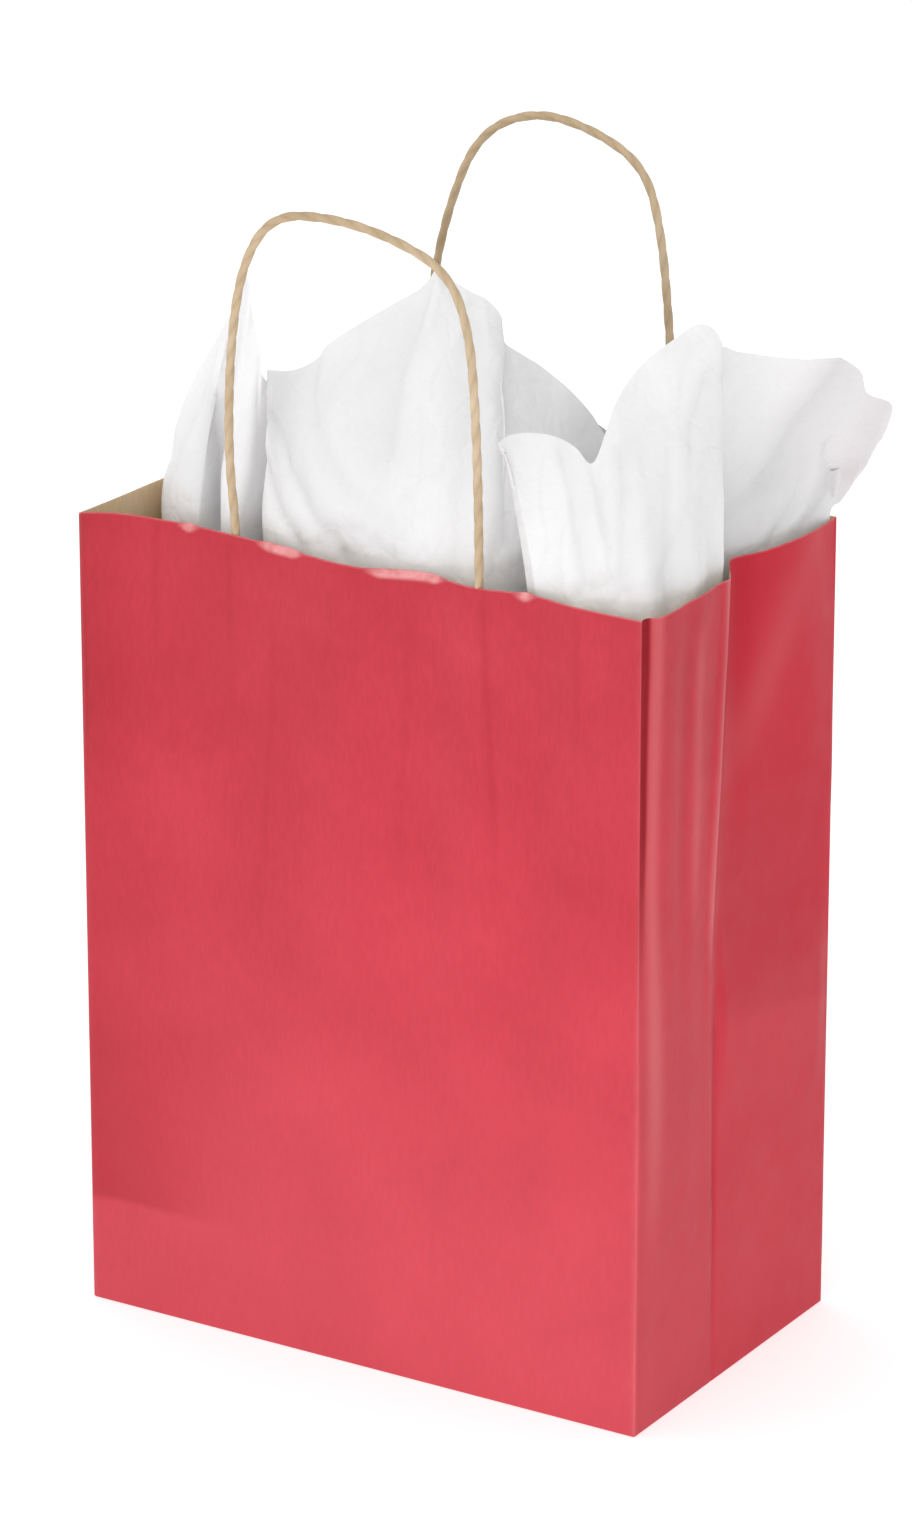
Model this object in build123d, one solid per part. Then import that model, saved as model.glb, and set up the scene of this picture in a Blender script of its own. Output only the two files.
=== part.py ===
"""Small square-bottom paper gift bag with twisted paper handles and tissue filling.

Frame: origin at the centre of the bottom face, +Z up, +X along the wide side, and the
front panel faces -Y.  All lengths are in millimetres.
"""
import math
import os

from build123d import *

# Driving dimensions of the bag
BAG_WIDTH = 203.2            # wide side, 8 in
BAG_DEPTH = 120.7            # gusset side, 4.75 in
BAG_HEIGHT = 266.7           # 10.5 in
PAPER = 0.16                 # kraft paper of about 120 g/m2
FOLD_GAP = 0.25              # room left at each vertical corner for the bend of the fold

# How the open mouth departs from a plain box
BOW_TOP_BAND = 60.0          # stiff strip below the rim that keeps the rim's outline
BOW_FADE_HEIGHT = 110.0      # below this height the walls are nearly flat
BOW_FADE_SHARE = 0.12        # share of the rim's bow that is left at that height

# Folded bottom
FLAP_OVERLAP = 15.0          # glue strip past the middle of the bottom
TUCK_CLEARANCE = 0.5         # between the folded parts of the bottom and the walls
TUCK_TRIM = 1.0              # cut off the end tucks' corners
SEAM_LAP = 17.0              # glue lap of the tube's one vertical seam
SEAM_START = 5.41            # distance of the lap from the left corner
SEAM_FOOT = 4 * PAPER        # the lap starts above the folded bottom

# Reinforcing patches that hold the cord ends
PATCH_PAPER = 0.15
PATCH_HEIGHT = 50.0
PATCH_BELOW_RIM = 4.0
PATCH_MARGIN = 16.0          # patch beyond each cord
CORD_ROOM = 0.05             # between a glued cord and the paper round it
TUNNEL_FOOT = 2.0            # depth that the section over a cord starts behind the patch's face

# Handles: twisted paper cord
CORD_DIAMETER = 3.0
CORD_RADIUS = CORD_DIAMETER / 2
GLUED_DEPTH = 50.0           # cord end's reach below the rim
CUT_BELOW_RIM = 2.6          # top of the glued end, under the bend at the rim
LOOP_START = 0.4             # start of the swinging loop, above the rim
FRONT_LEAN = 7.0             # degrees that the front loop leans outward at rest
ARC_SHARE = 0.45             # each arc's tangent length as a share of its shorter run
LEFT_X_FRONT, RIGHT_X_FRONT = -48.2, 42.8
LEFT_X_BACK, RIGHT_X_BACK = -45.4, 46.0

# Loop routes as (x, height above the rim) in each loop's own plane
FRONT_ROUTE = [(LEFT_X_FRONT, LOOP_START), (-49.0, 26), (-44.5, 64), (-37, 92), (-24, 109), (-2, 111.5),
               (20, 108.5), (39, 101), (45.5, 84), (45.8, 56), (44.4, 24), (RIGHT_X_FRONT, LOOP_START)]
BACK_ROUTE = [(LEFT_X_BACK, LOOP_START), (-45.9, 26), (-43, 54), (-36.5, 82), (-25.5, 107), (-5, 117),
              (17, 113.5), (35, 104), (41, 84), (44, 56), (46.2, 26), (RIGHT_X_BACK, LOOP_START)]

# Tissue filling: each sheet is pinched at its foot, in the bag, and spreads above the rim
TISSUE_FOOT = 110.0
TISSUE_RIM = BAG_HEIGHT - 8
TISSUE_WALL = 0.12           # the crumpled sheet's layers together

HALF_W, HALF_D = BAG_WIDTH / 2, BAG_DEPTH / 2

# Rim outlines: distance that the rim stands inside its straight line, along each wall
FRONT_RIM = [(-HALF_W, 0), (-96, 4.5), (-86, 7.5), (-70, 8.6), (-50, 7.2), (-30, 4.4), (-8, 0.2),
             (8, 1.0), (21, 5.0), (32, 3.2), (44, 1.6), (58, 4.4), (72, 2.0), (87, 0.6), (HALF_W, 0)]
BACK_RIM = [(-HALF_W, 0), (-80, 3.0), (-45, 4.4), (0, 1.6), (40, 4.0), (75, 3.0), (HALF_W, 0)]
RIGHT_RIM_FRONT = [(-HALF_D, 0), (-53, -3.0), (-38, -2.8), (-22, -2.2), (-11, -1.6), (0, 4.0)]
RIGHT_RIM_REAR = [(0, 4.0), (7, 7.2), (16, 3.6), (27, 0.8), (42, -0.8), (HALF_D, 0)]
LEFT_RIM_FRONT = [(-HALF_D, 0), (-48, 1.0), (-30, 1.8), (-14, 2.4), (0, 5.0)]
LEFT_RIM_REAR = [(0, 5.0), (12, 4.2), (30, 1.2), (45, 0.4), (HALF_D, 0)]


def wall_levels():
    """Heights of a wall's sections, each with its share of the rim's bow."""
    return [(0, 0), (BOW_FADE_HEIGHT, BOW_FADE_SHARE), (BAG_HEIGHT - BOW_TOP_BAND, 1), (BAG_HEIGHT, 1)]


def strip_face(outline, share, z, place, offset, thickness):
    """Thin horizontal section of a wall, from its outline to its outline moved by the thickness."""
    outer = [place(along, inward * share + offset, z) for along, inward in outline]
    inner = [place(along, inward * share + offset + thickness, z) for along, inward in outline]
    ends = [Line(outer[-1], inner[-1]), Line(inner[0], outer[0])]
    return Face(Wire([Spline(*outer), ends[0], Spline(*reversed(inner)), ends[1]]))


def wall(outline, place, levels, offset=0.0, thickness=PAPER):
    """Wall of paper lofted straight between its horizontal sections."""
    sections = [strip_face(outline, share, z, place, offset, thickness) for z, share in levels]
    return Solid.make_loft([face.outer_wire() for face in sections], ruled=True)


def on_front(along, inward, z):
    return Vector(along, -HALF_D + inward, z)


def on_back(along, inward, z):
    return Vector(along, HALF_D - inward, z)


def on_right(along, inward, z):
    return Vector(HALF_W - inward, along, z)


def on_left(along, inward, z):
    return Vector(-HALF_W + inward, along, z)


def inset(outline, start, end):
    """The same outline with its first and last points moved to start and end."""
    return [(start, outline[0][1])] + outline[1:-1] + [(end, outline[-1][1])]


def walls():
    """Front and back panels, and the halves of both gussets that meet at a centre crease."""
    levels = wall_levels()
    corner = HALF_D - PAPER - FOLD_GAP
    return {
        "front_panel": wall(FRONT_RIM, on_front, levels),
        "back_panel": wall(BACK_RIM, on_back, levels),
        "right_gusset_front": wall(inset(RIGHT_RIM_FRONT, -corner, 0), on_right, levels),
        "right_gusset_rear": wall(inset(RIGHT_RIM_REAR, 0, corner), on_right, levels),
        "left_gusset_front": wall(inset(LEFT_RIM_FRONT, -corner, 0), on_left, levels),
        "left_gusset_rear": wall(inset(LEFT_RIM_REAR, 0, corner), on_left, levels),
    }


def block(x, y, z):
    """Box between the (low, high) pairs of each axis."""
    size = [b - a for a, b in (x, y, z)]
    middle = [(a + b) / 2 for a, b in (x, y, z)]
    return Pos(*middle) * Box(*size)


def seam_lap():
    """Glue lap of the tube, a strip of the left gusset's end folded against the back panel's inside."""
    strip = wall(BACK_RIM, on_back, wall_levels(), offset=PAPER)
    low = -HALF_W + SEAM_START
    return strip & block((low, low + SEAM_LAP), (0, HALF_D), (SEAM_FOOT, BAG_HEIGHT))


def bottom_layer(points, layer):
    """Flat folded part of the bottom, in its layer above the resting face."""
    return Pos(0, 0, layer * PAPER) * extrude(make_face(Polyline(*points, close=True)), PAPER)


def bottom():
    """Square bottom: two end tucks inside, then the front flap, then the back flap outermost."""
    x = HALF_W - PAPER - TUCK_CLEARANCE
    y = HALF_D - PAPER - TUCK_CLEARANCE
    reach = y + FLAP_OVERLAP
    flap = [(-x, -y), (x, -y), (x - reach, -y + reach), (-x + reach, -y + reach)]
    tuck = [(x, -y + TUCK_TRIM), (x, y - TUCK_TRIM), (x - y + TUCK_TRIM, 0)]
    return {
        "bottom_back_flap": bottom_layer([(a, -b) for a, b in flap], 0),
        "bottom_front_flap": bottom_layer(flap, 1),
        "bottom_right_tuck": bottom_layer(tuck, 2),
        "bottom_left_tuck": bottom_layer([(-a, b) for a, b in tuck], 2),
    }


def rim_at(outline, x):
    """How far the spline through an outline stands inward at x."""
    curve = Spline(*[(a, b, 0) for a, b in outline])
    ruler = Edge.make_line((x, -HALF_D, 0), (x, HALF_D, 0))
    return curve.intersect(ruler).vertices()[0].Y


def cord_depth(outline, x):
    """Distance of a handle cord's centre inside the panel's straight rim line."""
    return rim_at(outline, x) + PAPER + PATCH_PAPER + CORD_RADIUS + CORD_ROOM


def section_2d(outline, place, offset, thickness):
    """Flat section of a strip that follows the rim."""
    face = strip_face(outline, 1, 0, place, offset, thickness)
    return Sketch() + (face if face.normal_at().Z > 0 else -face)


def tunnel_2d(place, x, seat, radius):
    """Round-topped section round a cord's end, with its foot sunk behind the patch's face."""
    centre = place(x, seat + CORD_RADIUS + CORD_ROOM, 0)
    foot = place(x, seat - TUNNEL_FOOT, 0)
    legs = Pos(x, (centre.Y + foot.Y) / 2) * Rectangle(2 * radius, abs(centre.Y - foot.Y))
    return Pos(x, centre.Y) * Circle(radius) + legs


def patch(outline, place, xs):
    """Patch glued to the panel, and the strip that is pressed over the two cord ends."""
    width = xs[1] - xs[0] + 2 * PATCH_MARGIN
    area = Pos((xs[0] + xs[1]) / 2, 0) * Rectangle(width, BAG_DEPTH)
    base = section_2d(outline, place, PAPER, PATCH_PAPER) & area
    cover = section_2d(outline, place, PAPER + PATCH_PAPER, PATCH_PAPER) & area
    behind = section_2d(outline, place, -TUNNEL_FOOT, TUNNEL_FOOT + PAPER + PATCH_PAPER)
    room = CORD_RADIUS + CORD_ROOM
    for x in xs:
        seat = rim_at(outline, x) + PAPER + PATCH_PAPER
        cover = (cover + tunnel_2d(place, x, seat, room + PATCH_PAPER)) - tunnel_2d(place, x, seat, room)
    cover = (cover - behind).faces().sort_by(SortBy.AREA)[-1]
    low = Pos(0, 0, BAG_HEIGHT - PATCH_BELOW_RIM - PATCH_HEIGHT)
    return [low * extrude(section, PATCH_HEIGHT, dir=(0, 0, 1)) for section in (base, cover)]


def glued_ends(outline, place, xs):
    """The two cord ends held in a patch, as one node of two solids."""
    upright = (Align.CENTER, Align.CENTER, Align.MIN)
    rod = Cylinder(CORD_RADIUS, GLUED_DEPTH - CUT_BELOW_RIM, align=upright)
    feet = [place(x, cord_depth(outline, x), BAG_HEIGHT - GLUED_DEPTH) for x in xs]
    return Compound(children=[Pos(*foot) * rod for foot in feet])


def loop(route, outline, place, lean):
    """Swinging loop of a handle, as straight runs joined by tangent arcs in the loop's leaning plane."""
    left, right = (place(x, cord_depth(outline, x), BAG_HEIGHT) for x in (route[0][0], route[-1][0]))
    points = []
    for x, s in route:
        share = (x - left.X) / (right.X - left.X)
        foot = left + (right - left) * share
        swing = s - LOOP_START
        points.append(Vector(x, foot.Y - swing * math.sin(math.radians(lean)),
                             BAG_HEIGHT + LOOP_START + swing * math.cos(math.radians(lean))))
    radii = []
    for before, corner, after in zip(points, points[1:], points[2:]):
        turn = (corner - before).get_angle(after - corner)
        run = min((corner - before).length, (after - corner).length)
        radii.append(ARC_SHARE * run / math.tan(math.radians(turn / 2)))
    print("loop radii", [round(r, 1) for r in radii])
    path = FilletPolyline(*points, radius=radii)
    section = Plane(origin=path @ 0, z_dir=path % 0) * Circle(CORD_RADIUS)
    tube = sweep(section, path=path)
    ideal = math.pi * CORD_RADIUS ** 2 * path.length
    print(f"loop length {path.length:.1f}, volume over section times length {tube.volume / ideal:.4f}")
    return tube


def tissue_stack(sections, shrink):
    """Solid lofted through rectangles (z, x low, x high, y low, y high), shrunk and lifted alike."""
    wires = []
    for z, x0, x1, y0, y1 in sections:
        (left, right), (near, far) = (x0 + shrink, x1 - shrink), (y0 + shrink, y1 - shrink)
        corners = [(left, near), (right, near), (right, far), (left, far)]
        wires.append(Wire(Polyline(*[(x, y, z + shrink) for x, y in corners], close=True).edges()))
    return Solid.make_loft(wires, ruled=True)


def tissue(sections):
    """Gathered sheet as a thin cup: closed at its pinched foot and open at its peak."""
    return tissue_stack(sections, 0) - tissue_stack(sections, TISSUE_WALL)


def tissue_sheets():
    """Four sheets side by side, with room between them for the handles to swing."""
    top = BAG_HEIGHT
    return {
        "tissue_left": tissue([(TISSUE_FOOT, -84, -62, -22, 12), (TISSUE_RIM, -95, -52, -46, 40),
                               (top + 30, -92, -53, -38, 28), (top + 72, -78, -62, -24, 0)]),
        "tissue_middle": tissue([(TISSUE_FOOT, -20, 16, -20, 20), (TISSUE_RIM, -44.5, 39.5, -44, 47),
                                 (top + 48, -38, 35, -30, 36), (top + 84, -18, 4, -8, 12)]),
        "tissue_front_right": tissue([(TISSUE_FOOT, 62, 84, -42, -20), (TISSUE_RIM, 48, 96, -50, -5),
                                      (top + 45, 50, 102, -46, -4), (top + 84, 88, 105, -28, -10)]),
        "tissue_back_right": tissue([(TISSUE_FOOT, 62, 84, 14, 36), (TISSUE_RIM, 48.7, 92.5, -2, 49),
                                     (top + 3, 49.2, 93, -1, 50), (top + 50, 74, 135, 6, 48),
                                     (top + 66, 88, 118, 14, 36)]),
    }


def build():
    parts = walls()
    parts["side_seam_lap"] = seam_lap()
    parts.update(bottom())
    front_xs = (LEFT_X_FRONT, RIGHT_X_FRONT)
    back_xs = (LEFT_X_BACK, RIGHT_X_BACK)
    parts["front_patch"], parts["front_patch_cover"] = patch(FRONT_RIM, on_front, front_xs)
    parts["back_patch"], parts["back_patch_cover"] = patch(BACK_RIM, on_back, back_xs)
    parts["front_handle_ends"] = glued_ends(FRONT_RIM, on_front, front_xs)
    parts["back_handle_ends"] = glued_ends(BACK_RIM, on_back, back_xs)
    parts["front_handle_loop"] = loop(FRONT_ROUTE, FRONT_RIM, on_front, FRONT_LEAN)
    parts["back_handle_loop"] = loop(BACK_ROUTE, BACK_RIM, on_back, 0)
    parts.update(tissue_sheets())
    return parts


def main():
    os.makedirs("parts", exist_ok=True)
    for name, shape in build().items():
        export_step(shape, f"parts/{name}.step")


main()
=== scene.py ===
"""Paper gift bag with twisted paper handles and tissue: the looks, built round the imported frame.

All lengths are in metres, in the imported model's own frame: the origin is the centre of the resting face,
+Z is up and the front panel faces -Y.  Outlines are written in millimetres and scaled once by MM.
"""
import math

import bpy
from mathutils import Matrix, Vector, noise
from mathutils.bvhtree import BVHTree


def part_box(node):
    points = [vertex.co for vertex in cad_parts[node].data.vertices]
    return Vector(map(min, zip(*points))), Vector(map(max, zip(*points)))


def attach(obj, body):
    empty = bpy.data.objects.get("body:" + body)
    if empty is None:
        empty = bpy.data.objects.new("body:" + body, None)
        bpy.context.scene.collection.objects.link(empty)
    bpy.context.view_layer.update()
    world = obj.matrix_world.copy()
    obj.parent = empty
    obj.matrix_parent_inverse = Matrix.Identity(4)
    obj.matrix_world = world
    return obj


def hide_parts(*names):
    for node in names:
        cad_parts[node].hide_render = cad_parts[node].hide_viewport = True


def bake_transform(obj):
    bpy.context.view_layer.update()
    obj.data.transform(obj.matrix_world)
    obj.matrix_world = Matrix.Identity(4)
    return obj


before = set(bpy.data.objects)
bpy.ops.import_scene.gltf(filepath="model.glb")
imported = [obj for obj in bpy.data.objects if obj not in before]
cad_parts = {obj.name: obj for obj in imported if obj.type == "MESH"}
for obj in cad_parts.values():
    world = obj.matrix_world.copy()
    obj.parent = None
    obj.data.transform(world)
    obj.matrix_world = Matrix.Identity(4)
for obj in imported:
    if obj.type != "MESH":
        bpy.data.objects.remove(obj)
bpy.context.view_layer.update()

MM = 0.001

# ---------------------------------------------------------------- sizes read from the frame

HALF_W, _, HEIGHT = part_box("front_panel")[1]
HALF_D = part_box("back_panel")[1][1]
PAPER = 0.16 * MM


def cad_tree(*nodes):
    """Surface of some CAD nodes, to measure from."""
    verts, faces = [], []
    for name in nodes:
        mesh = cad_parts[name].data
        base = len(verts)
        verts += [v.co.copy() for v in mesh.vertices]
        faces += [[base + i for i in p.vertices] for p in mesh.polygons]
    return BVHTree.FromPolygons(verts, faces)


def rim_samples(nodes, outward, along, half, inset, count=120):
    """How far the outside of a wall stands inside its box at the rim, at even steps along it."""
    tree = cad_tree(*nodes)
    out = Vector(outward)
    run = Vector(along)
    reach = HALF_D if abs(out.y) > 0 else HALF_W
    values = []
    for i in range(count + 1):
        s = -half + inset + 2 * (half - inset) * i / count
        origin = run * s + out * (reach + 0.02) + Vector((0, 0, HEIGHT - 1 * MM))
        hit = tree.ray_cast(origin, -out)[0]
        values.append(reach - hit.dot(out))
    return values


def sampler(values, half):
    """Value between even samples that run from -half to half."""
    last = len(values) - 1

    def value(s):
        t = min(max((s + half) / (2 * half), 0), 1) * last
        i = min(int(t), last - 1)
        return values[i] + (values[i + 1] - values[i]) * (t - i)
    return value


EDGE = 0.6 * MM
front_rim = sampler(rim_samples(["front_panel"], (0, -1, 0), (1, 0, 0), HALF_W, EDGE), HALF_W)
back_rim = sampler(rim_samples(["back_panel"], (0, 1, 0), (1, 0, 0), HALF_W, EDGE), HALF_W)
left_rim = sampler(rim_samples(["left_gusset_front", "left_gusset_rear"], (-1, 0, 0), (0, 1, 0),
                               HALF_D, EDGE), HALF_D)


def smooth(a, b, x):
    """0 below a, 1 above b, and smooth between."""
    t = min(max((x - a) / (b - a), 0), 1)
    return t * t * (3 - 2 * t)


def bump(x, centre, width):
    """Rounded bump of height 1."""
    return math.exp(-((x - centre) / width) ** 2)


# ---------------------------------------------------------------- camera, light and floor

CAMERA_AZIMUTH = math.radians(31.63)
CAMERA_ELEVATION = math.radians(19.68)
CAMERA_DISTANCE = 2.1146
CAMERA_SLIDE_RIGHT = -0.0004
CAMERA_SLIDE_UP = 0.0498
CAMERA_LENS = 157.87
FRONT_GLOW, BACK_GLOW = 0.95, 0.55   # the studio is brighter on the front panel's side
FLOOR = 30                           # half the floor's side


def add_camera():
    back = Vector((math.sin(CAMERA_AZIMUTH) * math.cos(CAMERA_ELEVATION),
                   -math.cos(CAMERA_AZIMUTH) * math.cos(CAMERA_ELEVATION), math.sin(CAMERA_ELEVATION)))
    turn = (-back).to_track_quat("-Z", "Y")
    data = bpy.data.cameras.new("camera")
    data.lens = CAMERA_LENS
    data.sensor_width = 36
    data.clip_end = 50
    camera = bpy.data.objects.new("camera", data)
    slide = turn @ Vector((CAMERA_SLIDE_RIGHT, CAMERA_SLIDE_UP, 0))
    camera.location = Vector((0, 0, HEIGHT / 2)) + back * CAMERA_DISTANCE + slide
    camera.rotation_euler = turn.to_euler()
    bpy.context.collection.objects.link(camera)
    bpy.context.scene.camera = camera


def add_area_light(name, place, target, size, power, spread=180):
    data = bpy.data.lights.new(name, "AREA")
    data.shape = "RECTANGLE"
    data.size, data.size_y = size
    data.energy = power
    data.spread = math.radians(spread)
    light = bpy.data.objects.new(name, data)
    light.location = place
    light.rotation_euler = (Vector(target) - Vector(place)).to_track_quat("-Z", "Y").to_euler()
    bpy.context.collection.objects.link(light)


def add_studio():
    world = bpy.data.worlds.new("studio")
    world.use_nodes = True
    tree = world.node_tree
    background = tree.nodes["Background"]
    direction = tree.nodes.new("ShaderNodeTexCoord")
    split = tree.nodes.new("ShaderNodeSeparateXYZ")
    lay = tree.nodes.new("ShaderNodeMapRange")
    for socket, value in (("From Min", -1), ("From Max", 1),
                          ("To Min", FRONT_GLOW), ("To Max", BACK_GLOW)):
        lay.inputs[socket].default_value = value
    tree.links.new(direction.outputs["Generated"], split.inputs["Vector"])
    tree.links.new(split.outputs["Y"], lay.inputs["Value"])
    tree.links.new(lay.outputs["Result"], background.inputs["Strength"])
    background.inputs["Color"].default_value = (1.0, 1.0, 1.0, 1)
    bpy.context.scene.world = world
    bpy.context.scene.view_settings.view_transform = "Standard"
    middle = (0, 0, 0.18)
    add_area_light("key", (0.1, -2.3, 0.9), middle, (0.7, 0.7), 4.3)
    add_area_light("top", (-0.35, 0.05, 2.3), middle, (1.2, 1.2), 8)
    add_area_light("low", (0.45, -0.9, 0.08), (0.06, -0.06, 0.03), (0.3, 0.2), 0.13, spread=34)


def add_floor():
    mesh = bpy.data.meshes.new("floor")
    corners = [(-FLOOR, -FLOOR, 0), (FLOOR, -FLOOR, 0), (FLOOR, FLOOR, 0), (-FLOOR, FLOOR, 0)]
    mesh.from_pydata(corners, [], [(0, 1, 2, 3)])
    floor = bpy.data.objects.new("floor", mesh)
    material = new_material("studio_floor")
    shader = material.node_tree.nodes["Principled BSDF"]
    shader.inputs["Base Color"].default_value = (0.70, 0.70, 0.70, 1)
    shader.inputs["Roughness"].default_value = 0.9
    shader.inputs["Emission Color"].default_value = (1, 1, 1, 1)
    shader.inputs["Emission Strength"].default_value = 0.53
    mesh.materials.append(material)
    bpy.context.collection.objects.link(floor)


# ---------------------------------------------------------------- materials

def new_material(name):
    material = bpy.data.materials.new(name)
    material.use_nodes = True
    return material


class Nodes:
    """Short way to add and link the shader nodes of one material."""

    def __init__(self, name):
        self.material = new_material(name)
        self.tree = self.material.node_tree
        self.shader = self.tree.nodes["Principled BSDF"]

    def add(self, kind, **settings):
        node = self.tree.nodes.new(kind)
        for key, value in settings.items():
            setattr(node, key, value)
        return node

    def link(self, output, target):
        self.tree.links.new(output, target)

    def position(self, scale=(1, 1, 1)):
        """Object position with its own scale on each axis."""
        place = self.add("ShaderNodeTexCoord")
        mapping = self.add("ShaderNodeMapping")
        mapping.inputs["Scale"].default_value = scale
        self.link(place.outputs["Object"], mapping.inputs["Vector"])
        return mapping.outputs["Vector"]

    def noise(self, scale, detail=3.0, roughness=0.5, stretch=(1, 1, 1)):
        node = self.add("ShaderNodeTexNoise")
        node.inputs["Scale"].default_value = scale
        node.inputs["Detail"].default_value = detail
        node.inputs["Roughness"].default_value = roughness
        self.link(self.position(stretch), node.inputs["Vector"])
        return node.outputs["Fac"]

    def ramp(self, value, stops):
        node = self.add("ShaderNodeValToRGB")
        elements = node.color_ramp.elements
        while len(elements) < len(stops):
            elements.new(0.5)
        for element, (place, colour) in zip(elements, stops):
            element.position = place
            element.color = (*colour, 1)
        self.link(value, node.inputs["Fac"])
        return node.outputs["Color"]

    def mix(self, factor, a, b, blend="MIX"):
        node = self.add("ShaderNodeMix", data_type="RGBA", blend_type=blend)
        for value, name in ((factor, "Factor"), (a, "A"), (b, "B")):
            socket = node.inputs[name]
            if hasattr(value, "default_value"):
                self.link(value, socket)
            elif isinstance(value, tuple):
                socket.default_value = (*value, 1)
            else:
                socket.default_value = value
        return node.outputs["Result"]

    def bump(self, height, strength, distance, normal=None):
        node = self.add("ShaderNodeBump")
        node.inputs["Strength"].default_value = strength
        node.inputs["Distance"].default_value = distance
        self.link(height, node.inputs["Height"])
        if normal is not None:
            self.link(normal, node.inputs["Normal"])
        return node.outputs["Normal"]


def paper_look(n, dark, mid, light):
    """Colour of uncoated paper: cloudy, with short fibres."""
    colour = n.ramp(n.noise(22, 4, 0.55), [(0.30, dark), (0.52, mid), (0.74, light)])
    fibre = n.ramp(n.noise(700, 3, 0.65, (1, 1, 0.3)),
                   [(0.38, (0.965, 0.965, 0.965)), (0.62, (1.03, 1.03, 1.03))])
    return n.mix(1.0, colour, fibre, "MULTIPLY")


def paper_relief(n, tooth, cockle):
    """Fine tooth of the paper and its slow cockle."""
    fine = n.bump(n.noise(1400, 3, 0.6), tooth, 0.0003)
    ribs = n.bump(n.noise(420, 2, 0.5, (1, 1, 0.04)), tooth * 0.3, 0.0003, fine)
    return n.bump(n.noise(55, 3, 0.5), cockle, 0.003, ribs)


def paper_material(name, dark, mid, light, roughness, tooth=0.12, cockle=0.10):
    n = Nodes(name)
    n.link(paper_look(n, dark, mid, light), n.shader.inputs["Base Color"])
    n.shader.inputs["Roughness"].default_value = roughness
    n.shader.inputs["Specular IOR Level"].default_value = 0.3
    n.link(paper_relief(n, tooth, cockle), n.shader.inputs["Normal"])
    return n.material


RED_TONES = ((0.485, 0.034, 0.052), (0.53, 0.040, 0.060), (0.57, 0.047, 0.069))
KRAFT_TONES = ((0.70, 0.52, 0.32), (0.785, 0.60, 0.38), (0.85, 0.67, 0.455))


def printed_material():
    """Red print on kraft: satin, rubbed pale at the rim and folds, with painted highlights on the rim's
    lips and raised folds, painted shade in folds and hollows, a deeper painted shade on the right gusset
    and painted light towards the bottom.
    """
    n = Nodes("red_paper")
    colour = paper_look(n, *RED_TONES)
    height = n.add("ShaderNodeSeparateXYZ")
    n.link(n.position(), height.inputs["Vector"])
    # painted light: the red is paler and whiter towards the bottom, as if lit from the floor
    painted_low_light = n.add("ShaderNodeMapRange", interpolation_type="SMOOTHSTEP")
    for socket, value in (("From Min", 0.0), ("From Max", 0.21), ("To Min", 0.30), ("To Max", 0.0)):
        painted_low_light.inputs[socket].default_value = value
    n.link(height.outputs["Z"], painted_low_light.inputs["Value"])
    colour = n.mix(painted_low_light.outputs["Result"], colour, (0.52, 0.095, 0.115))
    # painted shade: a deeper red on the right gusset; pale rub at the corners, with painted highlights on
    # the right gusset's raised folds
    for name, tone in (("painted_side_shade", (0.54, 0.012, 0.032)), ("rub_and_highlight", (0.74, 0.24, 0.25))):
        share = n.add("ShaderNodeAttribute", attribute_name=name)
        colour = n.mix(share.outputs["Fac"], colour, tone)
    # wear at the rim and folds, with painted highlights where the front rim's lips curl towards the light
    wear_and_lip_highlight = n.add("ShaderNodeAttribute", attribute_name="wear_and_lip_highlight")
    patchy = n.add("ShaderNodeMath", operation="MULTIPLY", use_clamp=True)
    n.link(wear_and_lip_highlight.outputs["Fac"], patchy.inputs[0])
    n.link(n.ramp(n.noise(260, 4, 0.6), [(0.35, (0.6, 0.6, 0.6)), (0.62, (1, 1, 1))]), patchy.inputs[1])
    colour = n.mix(patchy.outputs["Value"], colour, (0.84, 0.36, 0.36))
    # painted shade and painted shadow: darker red in folds, creases, hollows and the corner slit
    painted_shade = n.add("ShaderNodeAttribute", attribute_name="painted_shade")
    colour = n.mix(painted_shade.outputs["Fac"], colour, (0.29, 0.004, 0.012))
    n.link(colour, n.shader.inputs["Base Color"])
    n.link(n.ramp(n.noise(90, 3, 0.5), [(0.3, (0.42, 0.42, 0.42)), (0.7, (0.52, 0.52, 0.52))]),
           n.shader.inputs["Roughness"])
    n.shader.inputs["Specular IOR Level"].default_value = 0.14
    n.link(paper_relief(n, 0.10, 0.12), n.shader.inputs["Normal"])
    return n.material


def cord_material():
    """Twisted paper, with painted shade between the turns of the twist, darker there than on them."""
    n = Nodes("cord_paper")
    colour = paper_look(n, (0.49, 0.36, 0.22), (0.60, 0.455, 0.295), (0.71, 0.565, 0.395))
    # painted shade between the turns of the twist
    painted_groove_shade = n.add("ShaderNodeAttribute", attribute_name="painted_groove_shade")
    colour = n.mix(painted_groove_shade.outputs["Fac"], colour, (0.27, 0.19, 0.10))
    n.link(colour, n.shader.inputs["Base Color"])
    n.shader.inputs["Roughness"].default_value = 0.75
    n.shader.inputs["Specular IOR Level"].default_value = 0.3
    n.link(paper_relief(n, 0.3, 0.2), n.shader.inputs["Normal"])
    return n.material


def folded_material():
    """Paper of the folded bottom: the faces that look down are printed, the others are bare kraft."""
    n = Nodes("folded_paper")
    facing = n.add("ShaderNodeSeparateXYZ")
    n.link(n.add("ShaderNodeNewGeometry").outputs["Normal"], facing.inputs["Vector"])
    down = n.add("ShaderNodeMath", operation="LESS_THAN")
    n.link(facing.outputs["Z"], down.inputs[0])
    down.inputs[1].default_value = -0.5
    colour = n.mix(down.outputs["Value"], paper_look(n, *KRAFT_TONES), paper_look(n, *RED_TONES))
    n.link(colour, n.shader.inputs["Base Color"])
    n.shader.inputs["Roughness"].default_value = 0.6
    n.link(paper_relief(n, 0.10, 0.10), n.shader.inputs["Normal"])
    return n.material


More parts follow.
